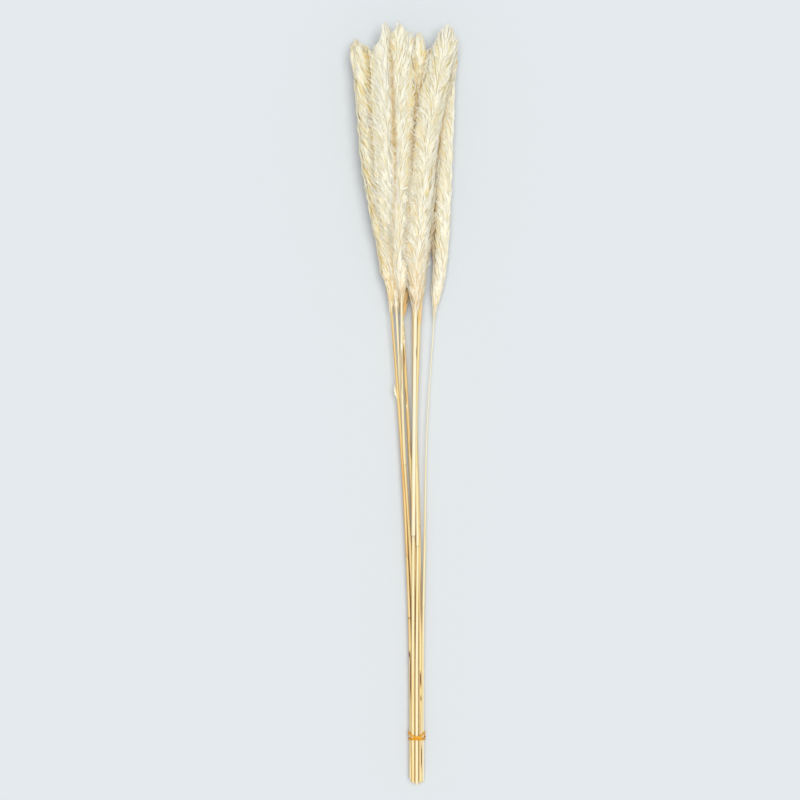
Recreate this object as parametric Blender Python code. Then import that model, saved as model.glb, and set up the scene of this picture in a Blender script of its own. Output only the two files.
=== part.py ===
"""A dried bunch of ten miscanthus stems with feathery plumes, held by a rubber band and lying down."""

import collections
import math
import random

import bmesh
import bpy
import numpy as np
from mathutils import Vector

# Sizes are in millimetres. The bunch lies along Y with the plumes towards +Y, and rests on z = 0.
MM = 0.001
SEED = 7
CUT_Y = -375.0
TIE_Y = -328.0
TIE_RUN = (-345.0, -305.0)
BOW_FOOT = -150.0

# Culms
CULM_RADIUS = 1.72
CULM_GAP = 0.36
CULM_SIDES = 8
PITCH = 2 * CULM_RADIUS + CULM_GAP
ROW = PITCH * math.sqrt(3) / 2
FLAKE_Y = 5.0
FLAKE_LENGTH = 14.0
FLAKE_REACH = 4.2
SOCKET_DEPTH = 22.0
SOCKET_GAP = 0.3
PLUG_RADIUS = 0.9

# Rubber band. COIL is how far the strands rise and sink where they cross.
STRAND = 1.5
COIL = 0.98
BAND_GAP = 0.32
BAND_SPREAD = 2.3
SIDE_SPREAD = 0.5
CROSSING_SPREAD = 1.13
CROSSING_DELAY = 0.28
BAND_RINGS = 25
BAND_SIDES = 5

# The lowest bits of the plumes and of the band dip this far into the floor, and are cut flat there.
FLOOR_DIP = 0.8
BAND_DIP = 0.6
TIE_X = 12.6
TIE_Z = CULM_RADIUS + ROW + BAND_GAP + STRAND + 2 * COIL - BAND_DIP

# Plumes. Widths and reaches without a unit are shares of the plume's girth or radius.
HEAD_GAP = 1.0
LOCK_WIDTH = 0.75
LOCK_LENGTH = (31.0, 23.0)
LOCK_ROOT = 0.38
LOCK_RIDGE = 0.82
LAST_ROOT = 0.88
TIP_LOCK_LENGTH = 26.0
CORE_SIDES = 8
CORE_RINGS = 10
CORE_SHARE = 0.66
CORE_WALL = 0.75
CORE_MARGIN = 0.6
CORE_END = 0.97
CORE_TIP = 2.4
GOLDEN_ANGLE = math.radians(137.508)
SPIKE_FACES = [(0, 1, 2), (0, 1, 3), (1, 2, 3), (2, 0, 3)]

# How thick a plume is along its length, as shares of its girth.
PROFILE_T = (0.0, 0.03, 0.08, 0.2, 0.4, 0.62, 0.84, 0.92, 0.97, 1.0)
PROFILE_R = (0.26, 0.45, 0.62, 0.8, 0.93, 1.0, 0.98, 0.9, 0.66, 0.18)

# slot: column and row in the tie. trim: how much shorter than the longest the culm is cut. bow: how far it
# bends sideways between BOW_FOOT and its plume. neck, belly, tip: x, y, z of points on the plume's middle line.
# girth: the radius that the plume has where nothing presses it. neck_radius: the culm's, where the plume
# begins. sheath: where a leaf sheath starts and ends, and its thickness. locks: the tufts.
Stem = collections.namedtuple("Stem", "name slot trim bow neck belly tip girth neck_radius sheath locks")
STEMS = (
    Stem("a", (-1.5, 0), 5, 0.3, (-13.2, 100, 14.7), (-33.3, 240, 25.0), (-45.0, 358, 23),
         11.0, 1.2, (-211, -150, 0.05), 38),
    Stem("c", (0, -1), 6, -0.5, (-3.4, 100, 7.0), (-26.5, 240, 9.2), (-32.5, 351, 11),
         10.0, 1.1, (-180, -120, 0.2), 31),
    Stem("d", (-1, -1), 7, -0.8, (-7.8, 101, 11.8), (-17.6, 240, 31.0), (-21.3, 373, 28),
         12.0, 1.2, (-20, 50, 0.2), 38),
    Stem("e", (-0.5, 0), 3, -1.7, (-2.3, 108, 19.8), (-1.0, 240, 31.5), (-4.5, 375, 30),
         11.5, 1.2, (-60, 20, 0.2), 38),
    Stem("f", (0, 1), 0, -2.6, (15.1, 100, 17.0), (14.5, 240, 18.0), (14.4, 364, 20),
         10.5, 1.2, (-140, -60, 0.2), 33),
    Stem("g", (-1, 1), 2, 0.0, (11.2, 95, 24.0), (19.8, 240, 32.5), (43.0, 372, 29),
         12.5, 1.3, (-130, 92, 0.55), 42),
    Stem("h", (1.5, 0), 3, -1.6, (30.4, 95, 9.0), (37.0, 145, 9.6), (46.5, 354, 12),
         9.5, 0.75, (-200, -130, 0.2), 36),
    Stem("i", (1, -1), 5, -2.1, (8.8, 106, 6.0), (5.5, 240, 11.0), (4.6, 364, 14),
         10.0, 1.1, (-160, -100, 0.2), 28),
    Stem("j", (1, 1), 2, -2.0, (13.4, 104, 6.2), (25.5, 240, 9.2), (28.5, 336, 10),
         10.0, 1.1, (-120, -50, 0.2), 29),
    Stem("k", (0.5, 0), 4, 0.0, (-2.0, 98, 11.8), (-10.5, 240, 8.8), (-11.0, 346, 11),
         10.0, 1.1, (-100, -30, 0.2), 27),
)


# Scene, materials and meshes

def clear_scene():
    for obj in list(bpy.data.objects):
        bpy.data.objects.remove(obj, do_unlink=True)


def make_material(name, colour, roughness):
    material = bpy.data.materials.new(name)
    material.use_nodes = True
    shader = material.node_tree.nodes["Principled BSDF"]
    shader.inputs["Base Color"].default_value = (*colour, 1.0)
    shader.inputs["Roughness"].default_value = roughness
    return material


def make_object(name, points, faces, material=None):
    """Makes an object from points in millimetres, with every face turned outwards."""
    mesh = bpy.data.meshes.new(name)
    mesh.from_pydata([tuple(c * MM for c in point) for point in points], [], faces)
    shape = bmesh.new()
    shape.from_mesh(mesh)
    bmesh.ops.recalc_face_normals(shape, faces=shape.faces)
    shape.to_mesh(mesh)
    shape.free()
    obj = bpy.data.objects.new(name, mesh)
    bpy.context.scene.collection.objects.link(obj)
    if material:
        mesh.materials.append(material)
    return obj


def ring_faces(rings, sides, closed=False):
    """The faces of a tube whose points are stored ring by ring, with flat ends unless it closes on itself."""
    faces = []
    for ring in range(rings if closed else rings - 1):
        here = ring * sides
        there = (ring + 1) % rings * sides
        for side in range(sides):
            after = (side + 1) % sides
            faces.append((here + side, here + after, there + after, there + side))
    if not closed:
        faces.append(tuple(range(sides)))
        faces.append(tuple((rings - 1) * sides + side for side in range(sides)))
    return faces


# The line that each stem follows

def slopes(stations, values):
    """Slopes that keep a curve through the values from overshooting them."""
    steps = np.diff(stations)
    grades = np.diff(values) / steps
    result = np.zeros(len(stations))
    result[0] = grades[0]
    result[-1] = grades[-1]
    for knot in range(1, len(stations) - 1):
        before, after = grades[knot - 1], grades[knot]
        if before * after > 0:
            near = 2 * steps[knot] + steps[knot - 1]
            far = steps[knot] + 2 * steps[knot - 1]
            result[knot] = (near + far) / (near / before + far / after)
    return result


class Line:
    """The middle line of a stem: x and z at any y."""

    def __init__(self, stem):
        column, row = stem.slot
        x = TIE_X + column * PITCH
        z = TIE_Z + row * ROW
        self.bow = stem.bow
        self.stations = np.array([CUT_Y, *TIE_RUN, stem.neck[1], stem.belly[1], stem.tip[1]])
        self.values = (
            np.array([x, x, x, stem.neck[0], stem.belly[0], stem.tip[0]]),
            np.array([z, z, z, stem.neck[2], stem.belly[2], stem.tip[2]]),
        )
        self.slopes = [slopes(self.stations, values) for values in self.values]

    def at(self, y):
        knot = int(np.clip(np.searchsorted(self.stations, y) - 1, 0, len(self.stations) - 2))
        step = self.stations[knot + 1] - self.stations[knot]
        t = (y - self.stations[knot]) / step
        point = []
        for values, grades in zip(self.values, self.slopes):
            point.append(
                (2 * t**3 - 3 * t**2 + 1) * values[knot]
                + (t**3 - 2 * t**2 + t) * step * grades[knot]
                + (3 * t**2 - 2 * t**3) * values[knot + 1]
                + (t**3 - t**2) * step * grades[knot + 1]
            )
        neck_y = self.stations[3]
        if BOW_FOOT < y < neck_y:
            point[0] += self.bow * math.sin(math.pi * (y - BOW_FOOT) / (neck_y - BOW_FOOT)) ** 2
        return np.array(point)


LINES = {stem.name: Line(stem) for stem in STEMS}


def culm_radius(stem, y):
    """The bare culm: it thins towards the plume and again inside it."""
    neck_y = stem.neck[1]
    if y <= neck_y:
        share = (y - CUT_Y) / (neck_y - CUT_Y)
        return CULM_RADIUS + (stem.neck_radius - CULM_RADIUS) * share
    share = min(1.0, (y - neck_y) / 6.0)
    return stem.neck_radius + (PLUG_RADIUS - stem.neck_radius) * share


def head_radius(stem, y):
    share = (y - stem.neck[1]) / (stem.tip[1] - stem.neck[1])
    return stem.girth * float(np.interp(share, PROFILE_T, PROFILE_R))


def neighbours(stem, y):
    """The sides on which other stems and plumes limit this plume at y: a direction and its limit for each."""
    centre = LINES[stem.name].at(y)
    own = head_radius(stem, y)
    limits = [(np.array([0.0, -1.0]), centre[1] + FLOOR_DIP)]
    for other in STEMS:
        if other is stem or y > other.tip[1]:
            continue
        away = LINES[other.name].at(y) - centre
        distance = float(np.linalg.norm(away))
        if y < other.neck[1] + 1.5:
            reach = distance - culm_radius(other, y) - HEAD_GAP
        else:
            reach = distance * own / (own + head_radius(other, y)) - HEAD_GAP / 2
        limits.append((away / distance, reach))
    return limits


def free_reach(stem, y, direction, offset=np.zeros(2)):
    """How far out a point, set off sideways from the middle line, can go and stay in the plume's room."""
    reach = 1000.0
    for normal, limit in neighbours(stem, y):
        facing = float(direction @ normal)
        if facing > 0.05:
            reach = min(reach, (limit - float(offset @ normal)) / facing)
    return reach


# Plumes

def make_core(stem):
    """The packed middle of a plume, which fills about half of the room that the plume has."""
    start = stem.neck[1]
    end = start + CORE_END * (stem.tip[1] - start)
    least = PLUG_RADIUS + SOCKET_GAP + CORE_WALL
    line = LINES[stem.name]
    points = []
    for ring in range(CORE_RINGS):
        y = start + (end - start) * (ring / (CORE_RINGS - 1)) ** 1.35
        x, z = line.at(y)
        for side in range(CORE_SIDES):
            angle = 2 * math.pi * (side + 0.5 * (ring % 2)) / CORE_SIDES
            out = np.array([math.cos(angle), math.sin(angle)])
            wanted = max(CORE_SHARE * head_radius(stem, y), least)
            radius = min(wanted, free_reach(stem, y, out) - CORE_MARGIN)
            if ring == CORE_RINGS - 1:
                radius = min(radius, CORE_TIP)
            points.append((x + radius * out[0], y, z + radius * out[1]))
    return points, ring_faces(CORE_RINGS, CORE_SIDES)


def make_lock(stem, root_y, tip_y, angle, rng):
    """One pointed lock of florets: a three-sided spike that rises out of the core and leans to the tip."""
    out = np.array([math.cos(angle), math.sin(angle)])
    along = np.array([-out[1], out[0]])
    half = LOCK_WIDTH * stem.girth / 2 * rng.uniform(0.85, 1.1)
    half = min(half, 0.85 * free_reach(stem, root_y, along), 0.85 * free_reach(stem, root_y, -along))
    ridge_y = root_y + 0.3 * (tip_y - root_y)
    spots = (
        (root_y, LOCK_ROOT, -half * along),
        (root_y, LOCK_ROOT, half * along),
        (ridge_y, LOCK_RIDGE, 0 * along),
        (tip_y, rng.uniform(0.96, 1.08), 0 * along),
    )
    points = []
    for y, share, offset in spots:
        reach = min(share * head_radius(stem, y), free_reach(stem, y, out, offset))
        x, z = LINES[stem.name].at(y) + out * reach + offset
        points.append((x, y, z))
    return points, SPIKE_FACES


def make_locks(stem):
    """Locks all round the core, each a golden angle on from the last, and three more for the tip."""
    rng = random.Random(SEED + ord(stem.name))
    start, end = stem.neck[1], stem.tip[1]
    turn = rng.uniform(0, 2 * math.pi)
    locks = []
    for index in range(stem.locks):
        share = LAST_ROOT * (index + rng.uniform(0, 0.6)) / stem.locks
        root_y = start + share * (end - start)
        length = LOCK_LENGTH[0] + (LOCK_LENGTH[1] - LOCK_LENGTH[0]) * share
        tip_y = min(root_y + length * rng.uniform(0.85, 1.15), end)
        locks.append(make_lock(stem, root_y, tip_y, turn + index * GOLDEN_ANGLE, rng))
    for index in range(3):
        tip_y = end - 3 * index
        locks.append(make_lock(stem, tip_y - TIP_LOCK_LENGTH, tip_y, turn + index * 2 * math.pi / 3, rng))
    return locks


def unite(name, shapes, cutters, material):
    """Fuses the shapes, cuts the cutters out of them, and keeps the one outer skin."""
    base = make_object(name, *shapes[0], material)
    if len(shapes) == 1:
        return base
    group = bpy.data.collections.new(name + "_locks")
    bpy.context.scene.collection.children.link(group)
    for points, faces in shapes[1:]:
        extra = make_object(name + "_lock", points, faces)
        bpy.context.scene.collection.objects.unlink(extra)
        group.objects.link(extra)
    join = base.modifiers.new("join", "BOOLEAN")
    join.operation = "UNION"
    join.operand_type = "COLLECTION"
    join.collection = group
    for cutter in cutters:
        cutter.hide_render = True
        cutter.display_type = "WIRE"
        cut = base.modifiers.new("cut", "BOOLEAN")
        cut.operation = "DIFFERENCE"
        cut.object = cutter
    apply_modifiers(base)
    for extra in list(group.objects):
        bpy.data.objects.remove(extra, do_unlink=True)
    bpy.data.collections.remove(group)
    keep_outer_skin(base)
    return base


def apply_modifiers(obj):
    graph = bpy.context.evaluated_depsgraph_get()
    mesh = bpy.data.meshes.new_from_object(obj.evaluated_get(graph))
    obj.modifiers.clear()
    old = obj.data
    obj.data = mesh
    mesh.name = old.name
    bpy.data.meshes.remove(old)


def keep_outer_skin(obj):
    """Fills sealed hollows and drops loose scraps: only the island with the most volume stays."""
    shape = bmesh.new()
    shape.from_mesh(obj.data)
    unseen = set(shape.verts)
    islands = []
    while unseen:
        stack = [unseen.pop()]
        island = set(stack)
        while stack:
            for edge in stack.pop().link_edges:
                for vert in edge.verts:
                    if vert in unseen:
                        unseen.discard(vert)
                        island.add(vert)
                        stack.append(vert)
        islands.append(island)
    volumes = [island_volume(island) for island in islands]
    best = islands[volumes.index(max(volumes))]
    loose = [vert for vert in shape.verts if vert not in best]
    bmesh.ops.delete(shape, geom=loose, context="VERTS")
    shape.to_mesh(obj.data)
    shape.free()


def island_volume(island):
    total = 0.0
    for face in {face for vert in island for face in vert.link_faces}:
        corners = [vert.co for vert in face.verts]
        for second, third in zip(corners[1:], corners[2:]):
            total += corners[0].dot(second.cross(third)) / 6
    return total


def make_plume(stem, material, floor):
    cutters = [make_socket(stem), floor]
    plume = unite("plume_" + stem.name, [make_core(stem), *make_locks(stem)], cutters, material)
    bpy.data.objects.remove(cutters[0], do_unlink=True)
    return plume


# Culms

def tube(stem, stations, radii, sides):
    line = LINES[stem.name]
    points = []
    for y, radius in zip(stations, radii):
        x, z = line.at(y)
        for side in range(sides):
            angle = 2 * math.pi * side / sides
            points.append((x + radius * math.cos(angle), y, z + radius * math.sin(angle)))
    return points, ring_faces(len(stations), sides)


def make_socket(stem):
    """The hole in a plume's core that its culm runs up."""
    neck = stem.neck[1]
    stations = [neck - 8 + 2 * step for step in range(5)]
    stations += [neck + 3 * step for step in range(1, 8)]
    stations.append(neck + SOCKET_DEPTH + 0.6)
    corner = 1 / math.cos(math.pi / CULM_SIDES)
    radii = [(culm_radius(stem, y) + SOCKET_GAP) * corner for y in stations]
    points, faces = tube(stem, stations, radii, CULM_SIDES)
    return make_object("socket_" + stem.name, points, faces)


def far_from(stations, y, least):
    return min(abs(y - station) for station in stations) > least


def make_culm(stem, material):
    """A culm with a joint and the leaf sheath that grows up from it, which ends in a step."""
    neck = stem.neck[1]
    joint, sheath_end, thickness = stem.sheath
    stations = [CUT_Y + stem.trim, *TIE_RUN, joint - 3, joint, joint + 3, sheath_end, sheath_end + 1.5]
    stations += [neck, neck + 6, neck + SOCKET_DEPTH]
    stations += [y for y in (-270, -235, -200, -165, -125, -90, -55, -20, 15, 50) if far_from(stations, y, 15)]
    stations.sort()
    radii = []
    for y in stations:
        extra = 0.0
        if joint < y <= sheath_end:
            extra = thickness
        if y == joint:
            extra = thickness + 0.1
        radii.append(culm_radius(stem, y) + extra)
    shapes = [tube(stem, stations, radii, CULM_SIDES)]
    if stem.name == "a":
        shapes.append(make_flake(stem))
    culm = unite("culm_" + stem.name, shapes, [], material)
    smooth(culm, 50)
    return culm


def make_flake(stem):
    """The torn bit of sheath that stands off the outermost culm on its left."""
    middle_y = FLAKE_Y + FLAKE_LENGTH / 2
    x, z = LINES[stem.name].at(middle_y)
    points = [
        (x, FLAKE_Y, z),
        (x, FLAKE_Y + 0.85 * FLAKE_LENGTH, z - 0.6),
        (x - 0.25 * FLAKE_REACH, middle_y, z + 0.9),
        (x - FLAKE_REACH, FLAKE_Y + FLAKE_LENGTH, z + 0.2),
    ]
    return points, SPIKE_FACES


def smooth(obj, angle):
    obj.data.shade_smooth()
    obj.data.set_sharp_from_angle(angle=math.radians(angle))


# Rubber band

def bundle_edge(angle):
    """How far the middles of the outer culms reach in a direction, and the one that reaches furthest."""
    out = np.array([math.cos(angle), math.sin(angle)])
    spots = [np.array([stem.slot[0] * PITCH, stem.slot[1] * ROW]) for stem in STEMS]
    return max(spots, key=lambda spot: float(spot @ out)), out


def make_band(material, floor):
    """One closed strand that goes round the culms three times: side by side on top, crossing underneath."""
    points = []
    total = BAND_RINGS * 3
    for ring in range(total):
        turn = 2 * math.pi * 3 * ring / total
        angle = turn + math.pi / 2
        spot, out = bundle_edge(angle)
        crossing = ((1 - math.cos(turn)) / 2) ** 2.5
        phase = turn / 3 - CROSSING_DELAY * math.sin(turn) + math.pi / 2
        height = COIL * crossing
        fan = BAND_SPREAD + SIDE_SPREAD * math.sin(turn) ** 2
        spread = fan * (1 - crossing) + CROSSING_SPREAD * crossing
        reach = CULM_RADIUS + BAND_GAP + STRAND / 2 + height + height * math.sin(phase)
        middle = np.array([TIE_X, TIE_Z]) + spot + out * reach
        y = TIE_Y + spread * math.cos(phase)
        for side in range(BAND_SIDES):
            round_angle = 2 * math.pi * side / BAND_SIDES
            step = STRAND / 2 * math.cos(round_angle)
            x, z = middle + out * step
            points.append((x, y + STRAND / 2 * math.sin(round_angle), z))
    band = make_object("rubber_band", points, ring_faces(total, BAND_SIDES, closed=True), material)
    cut = band.modifiers.new("cut", "BOOLEAN")
    cut.operation = "DIFFERENCE"
    cut.object = floor
    apply_modifiers(band)
    smooth(band, 60)
    return band


# The whole bunch

def make_floor_cutter():
    points = [(x, y, z) for x in (-200, 200) for y in (-500, 500) for z in (-40, 0)]
    faces = [(0, 1, 3, 2), (4, 6, 7, 5), (0, 4, 5, 1), (2, 3, 7, 6), (0, 2, 6, 4), (1, 5, 7, 3)]
    floor = make_object("floor_cutter", points, faces)
    floor.hide_render = True
    floor.display_type = "WIRE"
    return floor


def centre_on_box(objects):
    """Moves all of it so that the middle of its box is at x = 0 and y = 0."""
    corners = np.array([vert.co[:] for obj in objects for vert in obj.data.vertices])
    low, high = corners.min(axis=0), corners.max(axis=0)
    shift = Vector((-(low[0] + high[0]) / 2, -(low[1] + high[1]) / 2, 0.0))
    for obj in objects:
        for vert in obj.data.vertices:
            vert.co += shift


def main():
    clear_scene()
    straw = make_material("straw", (0.68, 0.52, 0.24), 0.5)
    plume_cream = make_material("plume_cream", (0.78, 0.70, 0.49), 0.85)
    orange_rubber = make_material("orange_rubber", (0.72, 0.34, 0.03), 0.45)
    floor = make_floor_cutter()
    objects = [make_plume(stem, plume_cream, floor) for stem in STEMS]
    objects += [make_culm(stem, straw) for stem in STEMS]
    objects.append(make_band(orange_rubber, floor))
    bpy.data.objects.remove(floor, do_unlink=True)
    centre_on_box(objects)


main()
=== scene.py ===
"""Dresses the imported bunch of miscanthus: silky plumes, straw culms and a rubber band, seen from above."""

import collections
import math
import random

import bpy
import numpy as np
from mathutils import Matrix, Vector


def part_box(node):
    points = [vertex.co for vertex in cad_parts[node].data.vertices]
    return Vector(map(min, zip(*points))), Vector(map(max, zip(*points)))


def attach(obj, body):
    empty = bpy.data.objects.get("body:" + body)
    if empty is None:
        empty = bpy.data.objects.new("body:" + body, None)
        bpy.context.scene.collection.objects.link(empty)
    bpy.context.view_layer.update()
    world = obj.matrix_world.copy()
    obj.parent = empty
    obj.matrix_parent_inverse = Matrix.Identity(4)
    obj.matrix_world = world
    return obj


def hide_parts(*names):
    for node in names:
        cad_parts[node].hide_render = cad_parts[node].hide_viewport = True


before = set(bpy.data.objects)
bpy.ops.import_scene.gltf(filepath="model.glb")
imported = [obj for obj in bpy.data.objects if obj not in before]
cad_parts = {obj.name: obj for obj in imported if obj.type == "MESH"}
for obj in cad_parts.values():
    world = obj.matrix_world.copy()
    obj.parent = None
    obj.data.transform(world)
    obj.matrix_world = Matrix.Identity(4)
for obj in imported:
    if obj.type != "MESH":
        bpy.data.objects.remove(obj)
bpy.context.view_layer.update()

# Sizes are in millimetres. The layout of the stems is the one that the solids were made from.
MM = 0.001
SEED = 7
CUT_Y = -375.0
TIE_RUN = (-345.0, -305.0)
BOW_FOOT = -150.0
CULM_RADIUS = 1.72
CULM_GAP = 0.36
PITCH = 2 * CULM_RADIUS + CULM_GAP
ROW = PITCH * math.sqrt(3) / 2
SOCKET_DEPTH = 22.0
PLUG_RADIUS = 0.9
STRAND = 1.5
COIL = 0.98
BAND_GAP = 0.32
BAND_SPREAD = 2.3
SIDE_SPREAD = 0.5
CROSSING_SPREAD = 1.13
CROSSING_DELAY = 0.28
BAND_DIP = 0.6
TIE_X = 12.6
TIE_Z = CULM_RADIUS + ROW + BAND_GAP + STRAND + 2 * COIL - BAND_DIP
LOCK_WIDTH = 0.75
LOCK_LENGTH = (31.0, 23.0)
LOCK_RIDGE = 0.82
LAST_ROOT = 0.88
TIP_LOCK_LENGTH = 26.0
GOLDEN_ANGLE = math.radians(137.508)
PROFILE_T = (0.0, 0.03, 0.08, 0.2, 0.4, 0.62, 0.84, 0.92, 0.97, 1.0)
PROFILE_R = (0.26, 0.45, 0.62, 0.8, 0.93, 1.0, 0.98, 0.9, 0.66, 0.18)

# Each stem's slot in the tie, trim, sideways bow, points on its middle line, girth, neck radius,
# sheath (start, end, thickness) and number of tufts.
Stem = collections.namedtuple("Stem", "name slot trim bow neck belly tip girth neck_radius sheath locks")
STEMS = (
    Stem("a", (-1.5, 0), 5, 0.3, (-13.2, 100, 14.7), (-33.3, 240, 25.0), (-45.0, 358, 23),
         11.0, 1.2, (-211, -150, 0.05), 38),
    Stem("c", (0, -1), 6, -0.5, (-3.4, 100, 7.0), (-26.5, 240, 9.2), (-32.5, 351, 11),
         10.0, 1.1, (-180, -120, 0.2), 31),
    Stem("d", (-1, -1), 7, -0.8, (-7.8, 101, 11.8), (-17.6, 240, 31.0), (-21.3, 373, 28),
         12.0, 1.2, (-20, 50, 0.2), 38),
    Stem("e", (-0.5, 0), 3, -1.7, (-2.3, 108, 19.8), (-1.0, 240, 31.5), (-4.5, 375, 30),
         11.5, 1.2, (-60, 20, 0.2), 38),
    Stem("f", (0, 1), 0, -2.6, (15.1, 100, 17.0), (14.5, 240, 18.0), (14.4, 364, 20),
         10.5, 1.2, (-140, -60, 0.2), 33),
    Stem("g", (-1, 1), 2, 0.0, (11.2, 95, 24.0), (19.8, 240, 32.5), (43.0, 372, 29),
         12.5, 1.3, (-130, 92, 0.55), 42),
    Stem("h", (1.5, 0), 3, -1.6, (30.4, 95, 9.0), (37.0, 145, 9.6), (46.5, 354, 12),
         9.5, 0.75, (-200, -130, 0.2), 36),
    Stem("i", (1, -1), 5, -2.1, (8.8, 106, 6.0), (5.5, 240, 11.0), (4.6, 364, 14),
         10.0, 1.1, (-160, -100, 0.2), 28),
    Stem("j", (1, 1), 2, -2.0, (13.4, 104, 6.2), (25.5, 240, 9.2), (28.5, 336, 10),
         10.0, 1.1, (-120, -50, 0.2), 29),
    Stem("k", (0.5, 0), 4, 0.0, (-2.0, 98, 11.8), (-10.5, 240, 8.8), (-11.0, 346, 11),
         10.0, 1.1, (-100, -30, 0.2), 27),
)

# The solids were moved sideways to the middle of their box. The lowest row's middle culm shows how far.
SHIFT_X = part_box("culm_c")[1].x / MM - TIE_X - CULM_RADIUS

# The room of a plume: how far it runs into a near plume's hairs, how near one must be to draw it out, and
# how much its section bulges at the corners.
OVERLAP = 3.4
FLOOR_GAP = 0.4
NECK_GAP = 1.5
DRAWN = (0.46, 0.62)
DRAWN_FROM = 50.0
SQUARENESS = 0.16

# Plumes. The body takes up a share of the room, and barbs lie a little closer together on the flanks.
FRONT = "adefgh"
TUFT_BARBS = 14
COAT_BARBS = {"front": 1500, "hidden": 280}
NECK_BARBS = 44
NECK_ROOTS = (-14, 6)
NECK_LENGTH = (14, 22)
BARB_LENGTH = (12.0, 20.0)
BARB_RADIUS = (0.3, 0.52)
BARB_FLATNESS = 0.6
BARB_SIDES = 4
BARB_STATIONS = (0.0, 0.2, 0.5, 0.8, 1.0)
BARB_SWELL = (0.75, 1.0, 0.6)
BARB_RISE = 1.4
FREE_GIRTH = 1.7
SWEEP = 1.05
FLANK_SHIFT = 0.12
HAIRS = 4
HAIR_LENGTH = (6.0, 10.0)
HAIR_RADIUS = (0.16, 0.26)
HAIR_SPREAD = 0.75
HAIR_SIDES = 3
BODY_SHARE = 0.66
BODY_SIDES = 32
BODY_RINGS = 90
BODY_FURROWS = (5, 7, 9)
FURROW_DEPTH = 0.03

# How far the shading leans outwards, and how far that way leans up and to the tip.
SILKINESS = 0.7
LEAN_UP = 0.9
LEAN_ALONG = 0.2

# Painted shade in the creases between plumes and under plumes that cover others: how wide it is, how high a
# plume leaves it, how plain it is along y and between two plumes, how covered a spot must be, and the plumes
# whose necks lie in the shade of others and get it too.
CREASE_SHADE_WIDTH = 0.12
CREASE_SHADE_DROP = 15
CREASE_SHADE_PLAINNESS = ((120, 220, 250, 330, 350), (0.35, 0.45, 1, 1, 0.5))
FAINT_CREASE_SHADES = {"ad": 0.45}
COVER_SHADE = (0.4, 0.8, 0.75)
DEEP_NECKS = "ik"
NECK_SHADE = ((125, 150), (0.8, 0))

# How much paler than the others a plume is, and how golden its neck is. The lightest free barbs have a
# ripe tip.
PALER = {"a": -0.34, "d": 0.18, "f": -0.25}
WARMTH = {"a": 0.5, "d": 0.65, "e": 0.6, "g": 0.8, "h": 0.35, "j": 0.7}
WARM_ALONG = ((100, 118, 135, 160, 200, 300), (1.6, 1.5, 0.8, 0.4, 0.25, 0.05))
RIPE_LIGHT = 0.88
RIPE_FROM = 0.7

# The combed pattern on a plume's body: its slant from the parting, and how it is stretched.
COMB_SLOPE = 20.0
COMB_STRETCH = 0.12
COMB_WIDTH = 9

# Where the fans of barbs part on each plume, in degrees round it: straight up is 90.
PARTINGS = {"a": 50, "c": 80, "d": 72, "e": 112, "f": 84, "g": 78, "h": 60, "i": 90, "j": 90, "k": 90}

# The outline of each plume's top, seen from above: x and y of its points and notches.
CROWN_BARBS = 300
CROWN_LENGTH = (16.0, 25.0)
CROWN_POINTED = 0.35
CROWN_STEPS = (200, 60)
CROWNS = {
    "a": ((-53.0, 344.1), (-52.3, 351.7), (-49.7, 356.4), (-46.7, 358.1), (-44.3, 355.1), (-42.6, 350.8),
          (-39.7, 351.2), (-37.9, 349.7), (-34.6, 350.5), (-32.9, 344.9)),
    "d": ((-30.7, 344.0), (-29.6, 350.1), (-27.5, 345.8), (-24.6, 353.4), (-22.0, 363.5), (-20.3, 371.1),
          (-18.2, 373.2), (-15.2, 369.3), (-12.6, 363.5)),
    "e": ((-12.4, 362.5), (-8.5, 366.0), (-6.9, 374.4), (-4.3, 371.1), (-1.9, 369.3), (0.7, 365.2),
          (4.0, 363.5), (7.4, 362.6), (9.4, 358.1)),
    "f": ((8.4, 357.9), (12.5, 363.5), (14.9, 364.8), (17.9, 362.6), (19.5, 358.4), (21.7, 344.9)),
    "g": ((25.9, 347.4), (28.4, 350.0), (30.9, 355.1), (33.5, 362.6), (36.0, 366.8), (38.5, 366.1),
          (40.2, 370.5), (43.0, 371.8), (45.2, 369.3), (47.6, 366.9), (49.8, 359.1), (53.1, 356.7)),
    "h": ((45.0, 347.0), (50.0, 349.0), (52.6, 345.0)),
}

# The left and right edges of the plumes together, seen from above, where their hairs end.
EDGE_GAP = 1.0
TOOTH = 1.5
TOOTH_STEP = 5.4
EDGES = (
    ((-15.0, 92.5), (-17.0, 112.2), (-24.2, 131.9), (-28.0, 157.4), (-33.2, 181.0), (-37.0, 202.6),
     (-42.5, 231.1), (-45.5, 267.4), (-48.9, 306.7), (-52.6, 344.0)),
    ((36.6, 105.4), (41.2, 118.1), (42.4, 133.8), (44.4, 152.5), (45.7, 175.1), (48.6, 250.7),
     (50.3, 301.8), (51.1, 330.3), (52.6, 345.0)),
)

# Barbs that lie across a plume: root and tip, seen from above.
STRAYS = {
    "e": (((-3.4, 208.4), (5.6, 211.2)), ((-1.5, 195.4), (2.4, 198.0)), ((2.4, 197.0), (12.1, 195.6)),
          ((-0.4, 158.4), (6.9, 160.4)), ((-2.4, 171.5), (3.9, 175.8))),
}

# Golden fans beside a plume's neck: barbs, and spans of the roots' y, the tips' x and the tips' y.
NECK_FANS = {
    "k": (46, (84.0, 104.0), (0.0, 7.4), (100.0, 134.0)),
    "i": (24, (92.0, 108.0), (5.4, 9.0), (108.0, 140.0)),
    "j": (34, (76.0, 104.0), (12.0, 17.5), (92.0, 124.0)),
    "f": (34, (76.0, 100.0), (13.2, 18.0), (90.0, 122.0)),
}

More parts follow.
